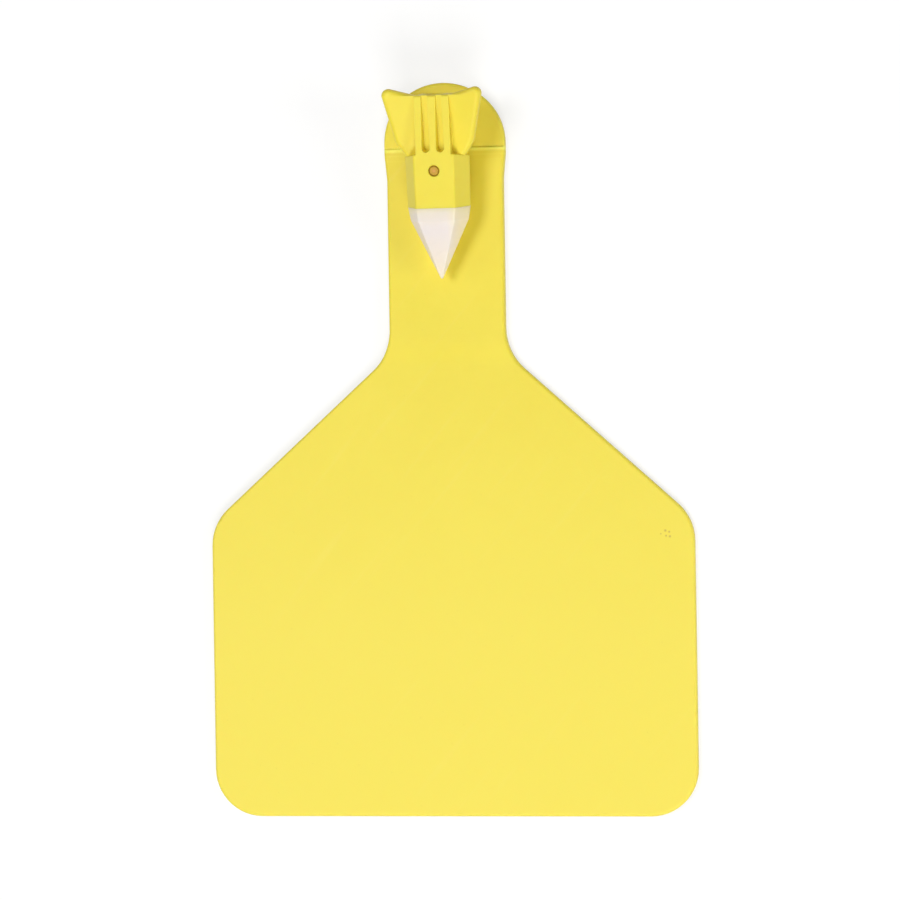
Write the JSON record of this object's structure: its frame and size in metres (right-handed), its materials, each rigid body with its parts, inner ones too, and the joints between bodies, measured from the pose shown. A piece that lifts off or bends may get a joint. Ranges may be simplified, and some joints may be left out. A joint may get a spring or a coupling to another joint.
{
  "type": "livestock ear tag",
  "caption": "One-piece flexible yellow ear tag for cattle: blank writing panel, neck and folded anchor head with a hard white piercing tip and a copper-coloured cross pin.",
  "frame": {"origin": "middle of the footprint, on the tag's back", "axes": "+X across the tag, +Y from the panel's lower edge to the neck's rounded end, +Z out of the front, where the anchor head stands"},
  "size_m": [0.0762, 0.1138, 0.0131],
  "materials": {
    "soft_yellow": "matte, very finely grained, slightly waxy",
    "hard_white": "satin, slightly milky",
    "copper_pin": "satin, copper-coloured"
  },
  "bodies": {
    "root": {"tag_body": "soft_yellow", "piercing_tip": "hard_white", "tip_pin": "copper_pin"}
  },
  "joints": []
}
